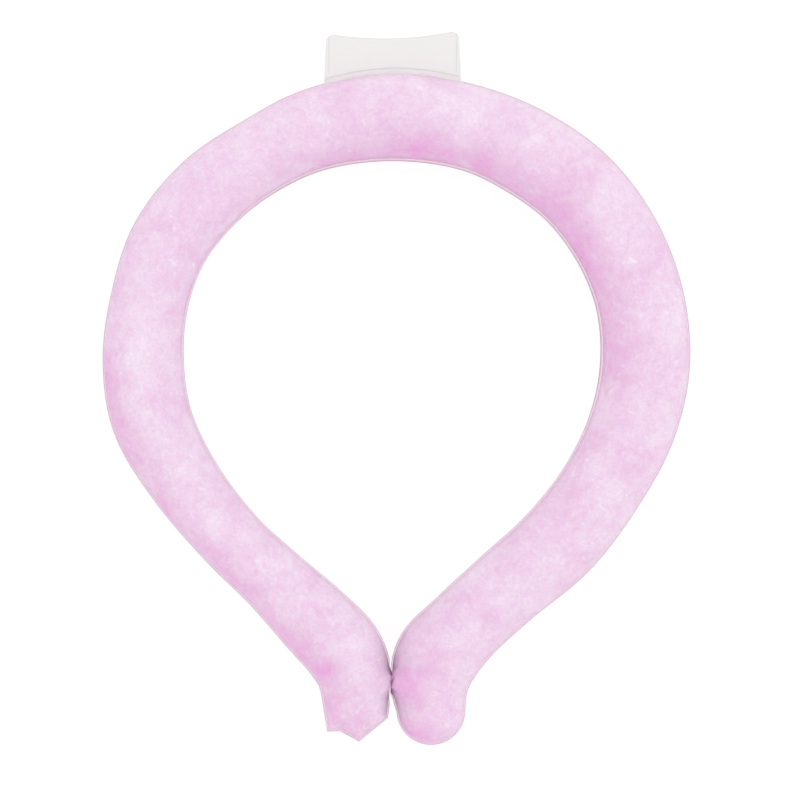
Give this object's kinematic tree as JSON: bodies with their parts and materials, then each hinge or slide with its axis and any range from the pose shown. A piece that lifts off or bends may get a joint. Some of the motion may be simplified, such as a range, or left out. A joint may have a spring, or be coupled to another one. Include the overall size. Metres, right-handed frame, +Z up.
{
  "type": "cooling neck ring",
  "caption": "Springy C-shaped tube of cooling gel in clear welded film, worn round the neck to cool it, with tips that meet at the front and a flat tab at the back.",
  "frame": {"origin": "middle of the whole ring's box, on the surface that the ring lies on", "axes": "+Z up, out of the neck opening; +Y from the tips at the front to the tab at the back of the neck; +X across the neck, to the right seen from above"},
  "size_m": [0.1722, 0.2092, 0.0198],
  "materials": {
    "clear_film": "frosted see-through soft plastic film, satin",
    "pink_gel": "cloudy waxy gel, mottled pink"
  },
  "bodies": {
    "root": {"upper_film": "clear_film", "lower_film": "clear_film", "cooling_gel": "pink_gel"}
  },
  "joints": []
}
